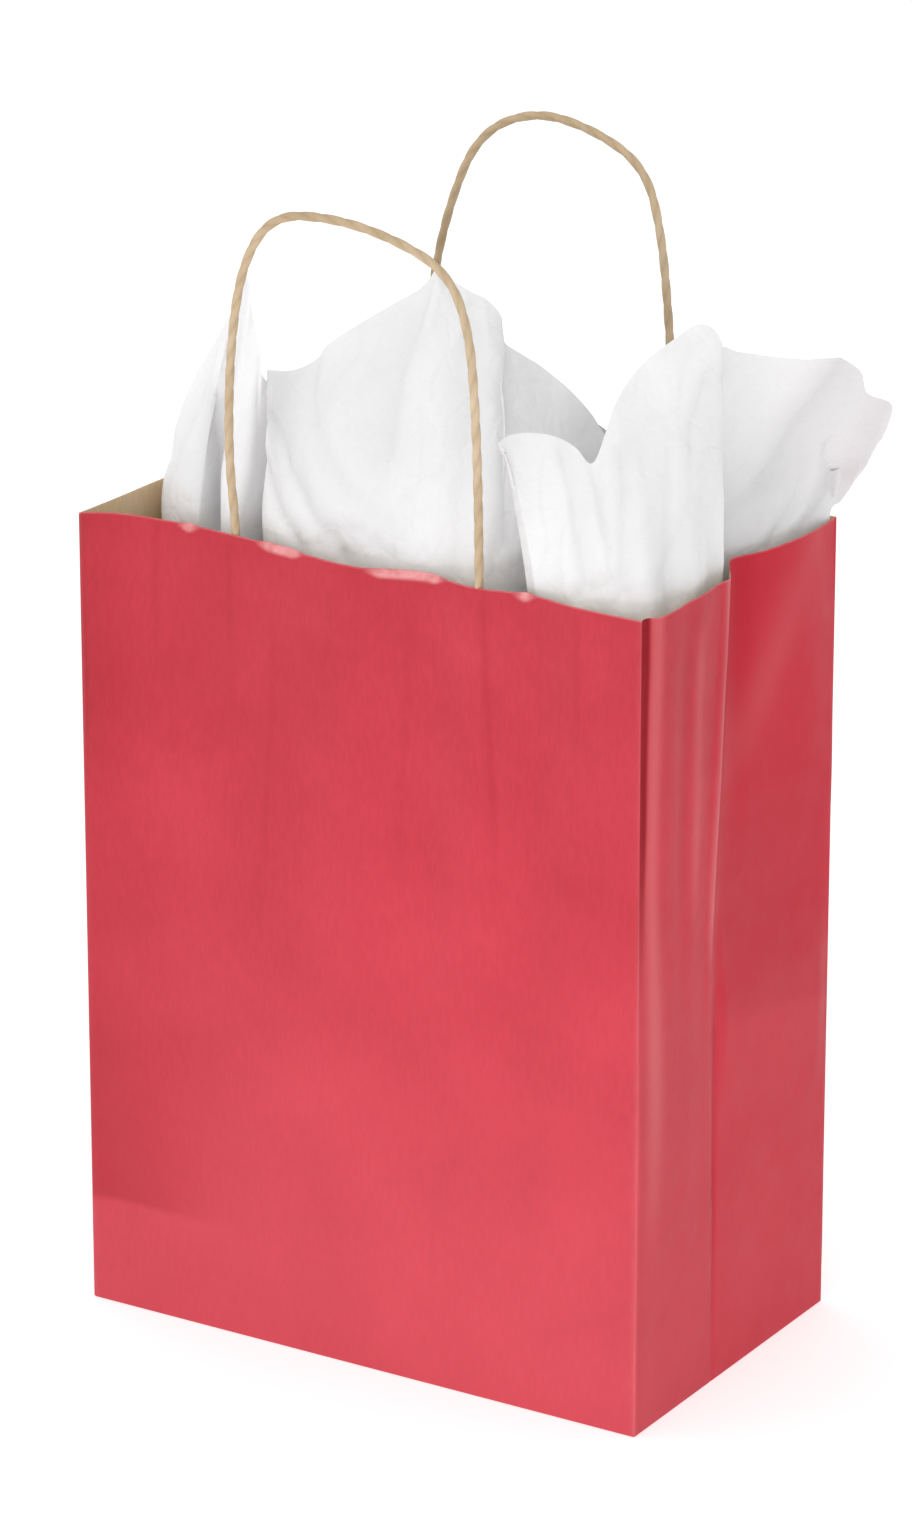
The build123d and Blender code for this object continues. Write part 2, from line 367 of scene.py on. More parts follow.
def tissue_material():
    """Thin white tissue: lets light through, with a net of fine creases."""
    n = Nodes("tissue")
    colour = n.ramp(n.noise(40, 4, 0.6), [(0.3, (0.945, 0.94, 0.95)), (0.7, (0.985, 0.98, 0.985))])
    fibre = n.ramp(n.noise(1100, 3, 0.7), [(0.35, (0.975, 0.975, 0.975)), (0.65, (1, 1, 1))])
    colour = n.mix(1.0, colour, fibre, "MULTIPLY")
    shade = n.add("ShaderNodeAttribute", attribute_name="shade")
    colour = n.mix(shade.outputs["Fac"], colour, (0.25, 0.245, 0.26))
    n.link(colour, n.shader.inputs["Base Color"])
    n.shader.inputs["Roughness"].default_value = 0.5
    n.shader.inputs["Specular IOR Level"].default_value = 0.25
    crumple = n.bump(n.noise(130, 4, 0.6), 0.14, 0.0012)
    for scale, strength in ((55, 0.30), (120, 0.20)):
        warp = n.add("ShaderNodeTexNoise")
        warp.inputs["Scale"].default_value = scale * 0.6
        n.link(n.position(), warp.inputs["Vector"])
        bent = n.add("ShaderNodeVectorMath", operation="MULTIPLY_ADD")
        n.link(warp.outputs["Color"], bent.inputs[0])
        bent.inputs[1].default_value = (0.012, 0.012, 0.012)
        n.link(n.position(), bent.inputs[2])
        cells = n.add("ShaderNodeTexVoronoi", feature="DISTANCE_TO_EDGE")
        cells.inputs["Scale"].default_value = scale
        n.link(bent.outputs["Vector"], cells.inputs["Vector"])
        ridge = n.ramp(cells.outputs["Distance"], [(0.0, (0, 0, 0)), (0.16, (1, 1, 1))])
        crumple = n.bump(ridge, strength, 0.0006, crumple)
    n.link(crumple, n.shader.inputs["Normal"])
    through = n.add("ShaderNodeBsdfTranslucent")
    through.inputs["Color"].default_value = (0.97, 0.97, 0.98, 1)
    n.link(crumple, through.inputs["Normal"])
    blend = n.add("ShaderNodeMixShader")
    blend.inputs["Fac"].default_value = 0.10
    output = n.tree.nodes["Material Output"]
    n.link(n.shader.outputs["BSDF"], blend.inputs[1])
    n.link(through.outputs["BSDF"], blend.inputs[2])
    n.link(blend.outputs["Shader"], output.inputs["Surface"])
    return n.material


RED = printed_material()
FOLDED = folded_material()
KRAFT = paper_material("kraft_paper", *KRAFT_TONES, 0.8)
CORD = cord_material()
TISSUE = tissue_material()


# ---------------------------------------------------------------- mesh helpers

def piece(name, verts, faces, materials, body):
    mesh = bpy.data.meshes.new(name)
    mesh.from_pydata([tuple(v) for v in verts], [], faces)
    mesh.validate()
    for material in materials:
        mesh.materials.append(material)
    mesh.shade_smooth()
    obj = bpy.data.objects.new(name, mesh)
    bpy.context.collection.objects.link(obj)
    if body:
        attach(obj, body)
    return obj


def grid_faces(rows, columns, closed=False):
    """Quads of a grid stored row by row; a closed grid joins its last column to its first."""
    faces = []
    for low in range(0, (rows - 1) * columns, columns):
        high = low + columns
        for c in range(columns if closed else columns - 1):
            d = (c + 1) % columns
            faces.append((low + c, low + d, high + d, high + c))
    return faces


def apply_modifiers(obj):
    """Bakes an object's modifiers into its mesh."""
    depsgraph = bpy.context.evaluated_depsgraph_get()
    mesh = bpy.data.meshes.new_from_object(obj.evaluated_get(depsgraph))
    old = obj.data
    obj.modifiers.clear()
    obj.data = mesh
    bpy.data.meshes.remove(old)


def thicken(obj, thickness, inner_slot):
    """Gives a sheet its paper thickness inwards, with another material inside."""
    solid = obj.modifiers.new("paper", "SOLIDIFY")
    solid.thickness = thickness
    solid.offset = -1
    solid.material_offset = inner_slot
    apply_modifiers(obj)


# ---------------------------------------------------------------- bag shell

FOLD_RADIUS = 0.7 * MM
FADE_LOW = 70 * MM           # the rim's bow has faded out here
FADE_HIGH = HEIGHT - 52 * MM
LIP_DEPTH = 3.4              # millimetres of the front rim that curl inwards, at a lip's middle
LIPS = ((-71, -61), (-41, -18), (2, 32), (53, 63))

# Marks pressed through the front panel by what is behind it, in millimetres:
# x at the top, x at the foot, top and foot height, how far it stands out, half width
FRONT_MARKS = (
    (46.5, 52, 263, 162, 0.75, 2.4), (-48, -48, 263, 226, 0.60, 2.2), (-76, -77, 266, 214, 0.45, 2.8),
    (-7, -7, 257, 238, 0.45, 2.4), (80, 80, 264, 216, 0.45, 3.4), (20, 14, 250, 150, 0.30, 7.0),
    (-30, -38, 240, 120, 0.35, 9.0),
)

# Shape of the right gusset: at each height, points across it from front to back as
# (y, how far it stands out), in millimetres
RIGHT_SECTIONS = (
    (266.7, ((-60.35, 0), (-59.9, -0.25), (-57.4, -0.25), (-53.2, 2.6), (-47, 3.0), (-37, 2.4),
             (-29, 2.6), (-16, 1.6), (-11, 2.1), (-1, -3.6), (7, -7.2), (16, -3.6), (27, -0.8),
             (42, 0.8), (60.35, 0))),
    (240, ((-60.35, 0), (-59.9, -0.5), (-57.2, -0.5), (-52.5, 2.2), (-46, 2.8), (-37, 1.7), (-29, 2.4),
           (-18, 1.5), (-13.5, 2.4), (-4, -2.9), (5, -6.6), (16, -3.2), (27, -0.9), (43, 1.0),
           (60.35, 0))),
    (208, ((-60.35, 0), (-59.9, -0.5), (-57.2, -0.5), (-52, 1.9), (-45, 2.4), (-36.5, 1.2), (-29, 2.1),
           (-20, 1.3), (-15.8, 2.2), (-8, -1.8), (1, -4.6), (13, -2.9), (26, -1.4), (44, 0.4),
           (60.35, 0))),
    (180, ((-60.35, 0), (-59.9, -0.4), (-57.6, -0.4), (-51.5, 1.5), (-44, 1.9), (-37, 1.1), (-30, 1.8),
           (-21, 1.1), (-17, 1.8), (-11, -1.2), (-4, -2.9), (10, -2.6), (25, -2.0), (45, -0.6),
           (60.35, 0))),
    (150, ((-60.35, 0), (-60.0, -0.4), (-58.6, -0.4), (-50.5, 1.2), (-43, 1.5), (-37, 1.2), (-30, 1.4),
           (-22, 0.9), (-17.8, 1.2), (-13.5, -0.6), (-10, -1.3), (8, -1.8), (25, -1.9), (46, -1.0),
           (60.35, 0))),
    (118, ((-60.35, 0), (-60.1, 0), (-58.8, 0.1), (-50, 1.0), (-43, 1.2), (-37, 1.1), (-30, 1.0),
           (-22, 0.7), (-17, 0.5), (-14.2, 0.0), (-12.8, -0.6), (-9, -0.3), (25, -0.4), (46, -0.2),
           (60.35, 0))),
    (70, ((-60.35, 0), (-60.1, 0), (-59.0, 0.1), (-50, 0.6), (-43, 0.7), (-37, 0.6), (-30, 0.5),
          (-22, 0.3), (-16, 0.3), (-13.8, 0.0), (-12.6, -0.6), (-10.5, 0.0), (25, 0.2), (46, 0.2),
          (60.35, 0))),
    (0, ((-60.35, 0), (-60.1, 0), (-59.0, 0), (-50, 0), (-43, 0), (-37, 0), (-30, 0), (-22, 0),
         (-16, 0), (-13.6, 0), (-12.3, -0.1), (-10.8, 0), (25, 0), (46, 0), (60.35, 0))),
)


def fade(z):
    """Share of the rim's bow at a height."""
    return smooth(FADE_LOW, FADE_HIGH, z)


def soft(s, z, seed, size, amount):
    """Slow unevenness of a paper wall, none at the resting edge."""
    return amount * noise.noise(Vector((s / size, z / size, seed))) * smooth(0, 30 * MM, z)


def tent(x, low, peak, high):
    """Rises straight from low to 1 at the peak and falls straight to high."""
    return max(0, min((x - low) / (peak - low), (high - x) / (high - peak)))


def lip(x):
    """1 where the front rim curls inwards, 0 elsewhere; x in millimetres."""
    deepest = 0
    for a, b in LIPS:
        taper = min(7, (b - a) / 2)
        deepest = max(deepest, smooth(a, a + taper, x) * (1 - smooth(b - taper, b, x)))
    return deepest


def lip_curl(x, z):
    """0 below the part of the front rim that curls inwards, 1 at the rim itself; in millimetres."""
    depth = LIP_DEPTH * (0.3 + 0.7 * lip(x))
    return min(max((z - HEIGHT / MM + depth) / depth, 0), 1)


def mark(x, z, x_top, x_foot, z_top, z_foot, height, width):
    share = (z_top - z) / (z_top - z_foot)
    if not -0.05 < share < 1.05:
        return 0
    centre = x_top + (x_foot - x_top) * share
    length = smooth(-0.05, 0.06, share) * (1 - smooth(0.45, 1.05, share))
    return height * length * bump(x, centre, width)


def low_crease(x):
    """Height of the crease across the front panel's low left corner, in millimetres."""
    return 34.0 + 0.04 * (x + 99)


def front_wall(x, z):
    px, pz = x / MM, z / MM
    out = sum(mark(px, pz, *m) for m in FRONT_MARKS)
    out += 0.9 * bump(px, -86, 11) * smooth(35, 60, pz) * (1 - smooth(180, 230, pz))
    corner = (1 - smooth(-66, -42, px)) * smooth(-101.6, -92, px)
    out -= 1.7 * tent(pz, 2, low_crease(px) + 0.5, 82) * corner
    out += 0.16 * noise.noise(Vector((px / 9, pz / 3, 2.2))) * smooth(222, 250, pz)
    curl = lip_curl(px, pz)
    out -= 1.5 * lip(px) * curl ** 1.5 + 0.12 * curl
    y = -HALF_D + front_rim(x) * fade(z) - out * MM
    return Vector((x, y + soft(x, z, 1.7, 48 * MM, 0.7 * MM) * (1 - smooth(-8, 0, pz - HEIGHT / MM)), z))


def back_wall(x, z):
    px, pz = x / MM, z / MM
    out = 0.35 * (bump(px, -45.4, 2.4) + bump(px, 46, 2.4)) * smooth(212, 222, pz)
    out -= 1.0 * tent(pz, 4, 62, 120) * (1 - 0.6 * bump(px, 30, 50))
    out += 0.14 * noise.noise(Vector((px / 9, pz / 3, 6.4))) * smooth(222, 250, pz)
    y = HALF_D - back_rim(x) * fade(z) + out * MM
    return Vector((x, y + soft(x, z, 5.1, 48 * MM, 0.7 * MM), z))


def section_at(z):
    """The right gusset's section at a height, as (y, out, slope) knots in millimetres."""
    pz = z / MM
    upper = max((i for i, (height, _) in enumerate(RIGHT_SECTIONS[:-1]) if height >= pz), default=0)
    (top, high), (foot, low) = RIGHT_SECTIONS[upper], RIGHT_SECTIONS[upper + 1]
    share = min(max((top - pz) / (top - foot), 0), 1)
    knots = [(a[0] + (b[0] - a[0]) * share, a[1] + (b[1] - a[1]) * share) for a, b in zip(high, low)]
    last = len(knots) - 1
    slopes = []
    for i in range(last + 1):
        a, b = knots[max(i - 1, 0)], knots[min(i + 1, last)]
        slopes.append((b[1] - a[1]) / (b[0] - a[0]))
    return [(y, out, slope) for (y, out), slope in zip(knots, slopes)]


def section_value(knots, s):
    for (a, va, ma), (b, vb, mb) in zip(knots, knots[1:]):
        if s <= b:
            break
    w = b - a
    t = min(max((s - a) / w, 0), 1)
    return (va * (1 + 2 * t) * (1 - t) ** 2 + ma * w * t * (1 - t) ** 2
            + vb * t * t * (3 - 2 * t) + mb * w * t * t * (t - 1))


def diagonals(s, z, centre):
    """Creases of the folded bottom, running down from a gusset's middle to its corners."""
    run = abs(s - centre)
    return tent(z - (66 - run * 0.92), -2.2, 0, 2.2) * smooth(0, 12, z)


def high_arc(y):
    """Height of the slack fold across the right gusset's far half, in millimetres."""
    return 121.5 - 0.2 * (y + 10)


def right_wall(y, z, knots):
    py, pz = y / MM, z / MM
    out = section_value(knots, py)
    arc = high_arc(py)
    out += 1.3 * tent(pz, arc - 34, arc, arc + 42) * smooth(-14, -6, py) * (1 - smooth(52, 60.35, py))
    out -= 0.22 * diagonals(py, pz, -12.5)
    return Vector((HALF_W + out * MM + soft(y, z, 9.3, 40 * MM, 0.5 * MM), y, z))


def left_wall(y, z):
    py, pz = y / MM, z / MM
    out = -0.7 * tent(py, -2.5, 1.0, 4.5) * smooth(20, 60, pz)
    out += 0.9 * tent(pz, 80, 118 + 0.15 * py, 165) * (1 - smooth(48, 60, abs(py)))
    out -= 0.22 * diagonals(py, pz, 1)
    x = -HALF_W + left_rim(y) * fade(z) - out * MM
    return Vector((x + soft(y, z, 12.6, 40 * MM, 0.5 * MM), y, z))


def steps(*runs):
    """Positions along runs of (start, end, spacing)."""
    places = []
    for start, end, spacing in runs:
        count = max(round(abs(end - start) / spacing), 1)
        places += [start + (end - start) * i / count for i in range(count)]
    return places + [runs[-1][1]]


EDGE_W = HALF_W / MM - FOLD_RADIUS / MM
EDGE_D = HALF_D / MM - FOLD_RADIUS / MM
FRONT_STEPS = steps((-EDGE_W, EDGE_W, 1.1))
RIGHT_STEPS = steps((-EDGE_D, -50, 0.45), (-50, -22, 1.2), (-22, 10, 0.7), (10, EDGE_D, 1.4))
BACK_STEPS = steps((EDGE_W, -EDGE_W, 1.8))
LEFT_STEPS = steps((EDGE_D, 8, 1.6), (8, -8, 0.7), (-8, -EDGE_D, 1.6))


def ridge_y(z):
    """Where the right gusset's standing fold runs at a height, in millimetres."""
    return -17.8 + 6.8 * smooth(140, 275, z) ** 1.3


def front_shade(x, z):
    """Painted shade: darker left edge, part above the low crease, upper left and left sides of the pressed
    marks.
    """
    left = 0.06 * (1 - smooth(-99, -82, x)) * smooth(30, 40, z)
    crease = low_crease(x)
    above = 0.36 * (1 - smooth(-88, -38, x)) * smooth(crease, crease + 2, z) * (1 - smooth(38, 190, z))
    upper = 0.05 * smooth(120, 250, z) * (1 - smooth(-80, 60, x))
    beside = sum(mark(x, z, x_top - 1.6, x_foot - 1.6, z_top, z_foot, 0.28 * height, 1.5)
                 for x_top, x_foot, z_top, z_foot, height, width in FRONT_MARKS)
    return left + above + upper + beside


def right_painted_highlight(y, z):
    """Painted highlights along the raised folds of the right gusset, where they face the light."""
    wide = 1 - smooth(105, 200, z)
    strip = 0.33 * bump(y, -54.2 + 2.8 * wide, 2.6 + 2.0 * wide) * (0.1 + 0.9 * smooth(40, 130, z))
    ridge = 0.42 * bump(y, ridge_y(z), 2.2) * smooth(138, 160, z)
    streak = 0.22 * bump(y, -29.5, 2.6) * smooth(150, 185, z) * (1 - smooth(245, 262, z))
    slant = 0.12 * bump(y - 0.7 * (z - 200), 2, 11) * smooth(185, 215, z)
    return max(strip, ridge, streak, slant)


def right_painted_side_shade(y, z):
    """Painted shade on the right gusset: a deeper tone all over, more low down, and most on the far half
    where it turns from the light.
    """
    far = smooth(ridge_y(z) + 2, ridge_y(z) + 6, y)
    return 0.13 + 0.12 * (1 - smooth(60, 130, z)) + far * (0.30 + 0.25 * smooth(124, 130, z))


def right_shade(y, z):
    """Painted shade in the hollows of the right gusset."""
    ridge = ridge_y(z)
    behind = 0.12 * smooth(ridge + 3, ridge + 6, y) * (1 - smooth(6, 22, y)) * smooth(190, 230, z)
    arc = high_arc(y)
    hollow = 0.15 * smooth(-12, -4, y) * (1 - smooth(54, 60, y)) * smooth(arc - 1, arc + 3, z)
    hollow *= 1 - smooth(165, 215, z)
    valley = 0.12 * bump(y, -37.5, 2.6) * smooth(160, 190, z) * (1 - smooth(246, 262, z))
    return behind + hollow + valley


def perimeter(z):
    """Points round the bag at one height, from the front left fold, anticlockwise from above,
    each with its paper's tones: worn pale, with painted highlights on the lips; painted shade; rubbed
    pale, with painted highlights; and a deeper painted shade."""
    points = []
    knots = section_at(z)
    pz = z / MM
    rim_wear = 0.5 * smooth(-0.7, 0, pz - HEIGHT / MM)
    tuck = FOLD_RADIUS - math.sqrt(max(FOLD_RADIUS ** 2 - max(FOLD_RADIUS - z, 0) ** 2, 0))

    def add(point, wear_and_lip_highlight, painted_shade=0.0, rub_and_highlight=0.0, painted_side_shade=0.0):
        pull = Vector((-tuck if point.x > 0 else tuck, -tuck if point.y > 0 else tuck, 0))
        share_x, share_y = smooth(0.99, 1, abs(point.x) / HALF_W), smooth(0.98, 1, abs(point.y) / HALF_D)
        points.append((point + Vector((pull.x * share_x, pull.y * share_y, 0)), wear_and_lip_highlight, painted_shade, rub_and_highlight, painted_side_shade))

    def turn(cx, cy, start, painted_shades=(0, 0, 0)):
        for i, painted_shade in enumerate(painted_shades, 1):
            a = math.radians(start + 90 * i / 4)
            corner = Vector((cx * MM, cy * MM, z)) + FOLD_RADIUS * Vector((math.cos(a), math.sin(a), 0))
            # corners rubbed pale with a painted highlight; painted shadow in the front right corner's slit
            add(corner, max(rim_wear, 0.04) * (1 - painted_shade), painted_shade, 0.14 * (1 - painted_shade))

    def near_fold(s, half):
        return 0.05 * (1 - smooth(0, 1.6, half - abs(s)))

    for s in FRONT_STEPS:
        # painted highlight where the lip curls inwards, towards the light
        lip_highlight = lip(s) * smooth(0.05, 0.5, lip_curl(s, pz))
        add(front_wall(s * MM, z), max(rim_wear, lip_highlight, near_fold(s, EDGE_W)), front_shade(s, pz))
    slit = smooth(145, 205, pz)
    turn(EDGE_W, -EDGE_D, -90, (0, 0.8 * slit, slit))
    for s in RIGHT_STEPS:
        # painted shadow in the slit at the front right corner, and painted shade along the middle crease
        painted_groove_shade = (1 - smooth(-57.8 + 0.8 * slit, -56.4 + 0.8 * slit, s)) * slit
        crease = bump(s, -12.7, 1.3) * (1 - smooth(110, 140, pz)) * smooth(0, 60, pz) * 0.25
        wear_and_lip_highlight = max(rim_wear, near_fold(s, EDGE_D)) * (1 - painted_groove_shade)
        add(right_wall(s * MM, z, knots), wear_and_lip_highlight, max(painted_groove_shade, crease, right_shade(s, pz)),
            right_painted_highlight(s, pz) * (1 - painted_groove_shade), right_painted_side_shade(s, pz))
    turn(EDGE_W, EDGE_D, 0)
    for s in BACK_STEPS:
        add(back_wall(s * MM, z), max(rim_wear, near_fold(s, EDGE_W)))
    turn(-EDGE_W, EDGE_D, 90)
    for s in LEFT_STEPS:
        # painted shade along the left gusset's middle crease
        add(left_wall(s * MM, z), max(rim_wear, near_fold(s, EDGE_D)), bump(s, 1, 1.3) * 0.3)
    turn(-EDGE_W, -EDGE_D, 180)
    return points


def store(obj, name, values):
    """Keeps one number at each point of a mesh, for its material."""
    attribute = obj.data.attributes.new(name, "FLOAT", "POINT")
    attribute.data.foreach_set("value", values)


def build_shell():
    top = HEIGHT / MM
    heights = steps((0, 0.7, 0.15), (0.7, 200, 2.6), (200, top - 5, 1.8), (top - 5, top, 0.3))
    rows = [perimeter(z * MM) for z in heights]
    points = [p for row in rows for p in row]
    faces = grid_faces(len(rows), len(rows[0]), closed=True)
    shell = piece("paper_shell", [p[0] for p in points], faces, [RED, KRAFT], "bag")
    for column, name in enumerate(("wear_and_lip_highlight", "painted_shade", "rub_and_highlight", "painted_side_shade"), 1):
        store(shell, name, [p[column] for p in points])
    thicken(shell, PAPER, 1)
    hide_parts("front_panel", "back_panel", "right_gusset_front", "right_gusset_rear",
                "left_gusset_front", "left_gusset_rear")


STRIP_PAPER = 0.14 * MM
PATCH_DEPTH, COVER_DEPTH, LAP_DEPTH = 0.32, 0.48, 0.34   # millimetres behind the wall's outer face
HUMP, HUMP_WIDTH = 3.15, 2.7   # millimetres, of a strip pressed over a cord


def wall_strip(name, node, wall, inward, depth, humps=()):
    """Strip of kraft paper glued inside a wall, from its node's box, with a hump over each cord end."""
    low, high = (Vector(p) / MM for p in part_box(node))
    across = steps((low.x, high.x, 1.0 if humps else 2.0))
    up = steps((low.z, high.z, 2.0 if humps else 6.0))
    verts = []
    for z in up:
        for x in across:
            point = wall(x * MM, z * MM)
            hump = sum(HUMP * bump(x, h, HUMP_WIDTH) for h in humps) * smooth(low.z, low.z + 5, z)
            point.y += inward * (depth + hump) * MM
            verts.append(point)
    faces = grid_faces(len(up), len(across))
    obj = piece(name, verts, faces, [KRAFT, KRAFT], "bag")
    thicken(obj, STRIP_PAPER, 1)
    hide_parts(node)


def build_inside():
    """Glued papers inside the bag: the handle patches with their covers, and the side seam."""
    for side, wall, inward, route in (("front", front_wall, 1, FRONT_ROUTE),
                                      ("back", back_wall, -1, BACK_ROUTE)):
        patch, cover = f"{side}_patch", f"{side}_patch_cover"
        wall_strip(f"{patch}_paper", patch, wall, inward, PATCH_DEPTH)
        wall_strip(f"{cover}_paper", cover, wall, inward, COVER_DEPTH, legs(route))
    wall_strip("side_seam_paper", "side_seam_lap", back_wall, -1, LAP_DEPTH)


def paint_bottom():
    """Folded bottom: printed outside, natural inside."""
    for name in ("bottom_back_flap", "bottom_front_flap", "bottom_left_tuck", "bottom_right_tuck"):
        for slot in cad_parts[name].material_slots:
            slot.material = FOLDED


# ---------------------------------------------------------------- handles

CORD_DIAMETER = 3.0 * MM
CORD_RADIUS = CORD_DIAMETER / 2
TWIST_PITCH = 17 * MM        # one full turn of the two plies
GROOVE, CROWN = 0.73, 0.95   # share of the radius between the plies and on them
GROOVE_SHADE = 0.34
LOOP_START = 0.4             # millimetres above the rim
FRONT_LEAN = math.radians(7)

# Routes as (x, height above the rim) in each loop's own plane, in millimetres
FRONT_ROUTE = [
    (-48.2, -50), (-48.2, -26), (-48.2, LOOP_START), (-49.0, 26), (-44.5, 64), (-37, 92), (-24, 109),
    (-2, 111.5), (20, 108.5), (39, 101), (45.5, 84), (45.8, 56), (44.4, 24), (42.8, LOOP_START),
    (42.8, -26), (42.8, -50)]
BACK_ROUTE = [
    (-45.4, -50), (-45.4, -26), (-45.4, LOOP_START), (-45.9, 26), (-43, 54), (-36.5, 82), (-25.5, 107),
    (-5, 117), (17, 113.5), (35, 104), (41, 84), (44, 56), (46.2, 26), (46.0, LOOP_START),
    (46.0, -26), (46.0, -50)]


def legs(route):
    """Where a handle's two legs stand along its wall, in millimetres."""
    return route[0][0], route[-1][0]


def route_points(route, ends_node, outward, lean):
    """The route's points in the row's frame; its depth at each leg is that of the glued cord end."""
    ends = [v.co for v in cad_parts[ends_node].data.vertices]
    left, right = ([v.y for v in ends if v.x * side > 0] for side in (-1, 1))
    left, right = sum(left) / len(left), sum(right) / len(right)
    x_left, x_right = legs(route)
    points = []
    for x, s in route:
        y = left + (right - left) * (x - x_left) / (x_right - x_left)
        swing = max(s - LOOP_START, 0) * MM
        z = HEIGHT + min(s, LOOP_START) * MM + swing * math.cos(lean)
        points.append(Vector((x * MM, y + outward * swing * math.sin(lean), z)))
    return points


def nurbs_line(name, points):
    """Points along the smooth NURBS line of a route."""
    curve = bpy.data.curves.new(name, "CURVE")
    curve.dimensions = "3D"
    curve.resolution_u = 24
    spline = curve.splines.new("NURBS")
    spline.points.add(len(points) - 1)
    for target, point in zip(spline.points, points):
        target.co = (*point, 1)
    spline.order_u = 3
    spline.use_endpoint_u = True
    holder = bpy.data.objects.new(name, curve)
    bpy.context.collection.objects.link(holder)
    bpy.context.view_layer.update()
    mesh = bpy.data.meshes.new_from_object(holder.evaluated_get(bpy.context.evaluated_depsgraph_get()))
    line = [v.co.copy() for v in mesh.vertices]
    bpy.data.objects.remove(holder)
    bpy.data.meshes.remove(mesh)
    return line


def even_points(line, step):
    """The same line at even steps."""
    lengths = [0]
    for a, b in zip(line, line[1:]):
        lengths.append(lengths[-1] + (b - a).length)
    count = round(lengths[-1] / step)
    points, j = [], 0
    for i in range(count + 1):
        s = lengths[-1] * i / count
        while j < len(line) - 2 and lengths[j + 1] < s:
            j += 1
        t = (s - lengths[j]) / (lengths[j + 1] - lengths[j])
        points.append(line[j].lerp(line[j + 1], t))
    return points, lengths[-1]


def twisted_cord(name, line, materials):
    """Two plies of rolled paper twisted together, as one grooved tube round a line."""
    around, last = 28, len(line) - 1
    tangents = [(line[min(i + 1, last)] - line[max(i - 1, 0)]).normalized() for i in range(len(line))]
    normal = tangents[0].cross(Vector((0, 1, 0))).normalized()
    verts, painted_groove_shades, travelled = [], [], 0.0
    for i, (point, tangent) in enumerate(zip(line, tangents)):
        if i:
            travelled += (point - line[i - 1]).length
            normal = (normal - tangent * normal.dot(tangent)).normalized()
        side = tangent.cross(normal)
        twist = 2 * math.pi * travelled / TWIST_PITCH
        uneven = 1 + 0.03 * noise.noise(Vector((travelled / (6 * MM), 0.3, 7.0)))
        for k in range(around):
            a = 2 * math.pi * k / around
            crown = abs(math.cos(a - twist)) ** 0.6
            radius = CORD_RADIUS * uneven * (GROOVE + (CROWN - GROOVE) * crown)
            # painted shade in the grooves between the plies
            painted_groove_shades.append(GROOVE_SHADE * (1 - crown))
            verts.append(point + (normal * math.cos(a) + side * math.sin(a)) * radius)
    rows = len(line)
    faces = [tuple(reversed(f)) for f in grid_faces(rows, around, closed=True)]
    faces.append(tuple(range(around)))
    faces.append(tuple(reversed(range((rows - 1) * around, rows * around))))
    cord = piece(name, verts, faces, materials, None)
    store(cord, "painted_groove_shade", painted_groove_shades)
    return cord


def build_handle(side, route, outward, lean):
    ends, loop = f"{side}_handle_ends", f"{side}_handle_loop"
    points = route_points(route, ends, outward, lean)
    line, length = even_points(nurbs_line(f"{side}_route", points), 0.7 * MM)
    cord = twisted_cord(f"{side}_handle_cord", line, [CORD])
    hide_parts(ends, loop)
    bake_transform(cord)


# ---------------------------------------------------------------- tissue

FOOT_Z = 112 * MM            # a gathered sheet's foot, its throat and the row just under the rim
THROAT_Z = HEIGHT - 80 * MM
UNDER_Z = HEIGHT - 22 * MM
ROW_STEPS = (8, 8, 5, 8, 10, 12)   # mesh rows between the rows of the control net
COLUMN_STEPS = 12
FOOT_SHARE = 0.16            # size of the gathered foot beside the sheet at the rim
PLEAT_DEPTH, FAN_DEPTH = 1.8 * MM, 2.2 * MM
BROAD_CREASE, FINE_CREASE = 1.2 * MM, 0.5 * MM
CREASE_SHADE = 0.045


def catmull(points, t, closed):
    """Point at t, counted in spans, on a Catmull-Rom curve."""
    n = len(points)
    i = min(int(math.floor(t)), n if closed else n - 2)
    f = t - i

    def at(k):
        return points[k % n] if closed else points[min(max(k, 0), n - 1)]
    a, b, c, d = at(i - 1), at(i), at(i + 1), at(i + 2)
    square, cube = 2 * a - 5 * b + 4 * c - d, 3 * b - a - 3 * c + d
    return 0.5 * (2 * b + (c - a) * f + square * f * f + cube * f ** 3)


def creases(p, seed, size, upright=0.6):
    """Sharp valleys of creased paper, about -0.5 to 0.35; a small upright draws them out in height."""
    q = Vector((p.x, p.y, p.z * upright)) / size + Vector((seed, seed * 0.37, 0))
    return 0.35 - abs(noise.noise(q)) * 1.6


def folds_at(v, lines):
    """How far a point is pushed in by folds that follow lines, in millimetres, and how shaded it is.
    Each fold is (depth, half width, shade, reach of the shade, highest y, points) and is shaded on the
    left of its run; the points are (x, z above the rim)."""
    x, z, deepest, darkest = v.x / MM, (v.z - HEIGHT) / MM, 0, 0
    for depth, width, shade, reach, back, points in lines:
        if v.y / MM > back:
            continue
        near, side = 1e9, 0
        for (ax, az), (bx, bz) in zip(points, points[1:]):
            dx, dz = bx - ax, bz - az
            t = min(max(((x - ax) * dx + (z - az) * dz) / (dx * dx + dz * dz), 0), 1)
            away = math.hypot(x - ax - dx * t, z - az - dz * t)
            if away < near:
                near, side = away, dx * (z - az) - dz * (x - ax)
        deepest = max(deepest, depth * math.exp(-near / width))
        darkest = max(darkest, shade * math.exp(-near / (reach if side > 0 else 0.25 * reach)))
    return deepest, darkest


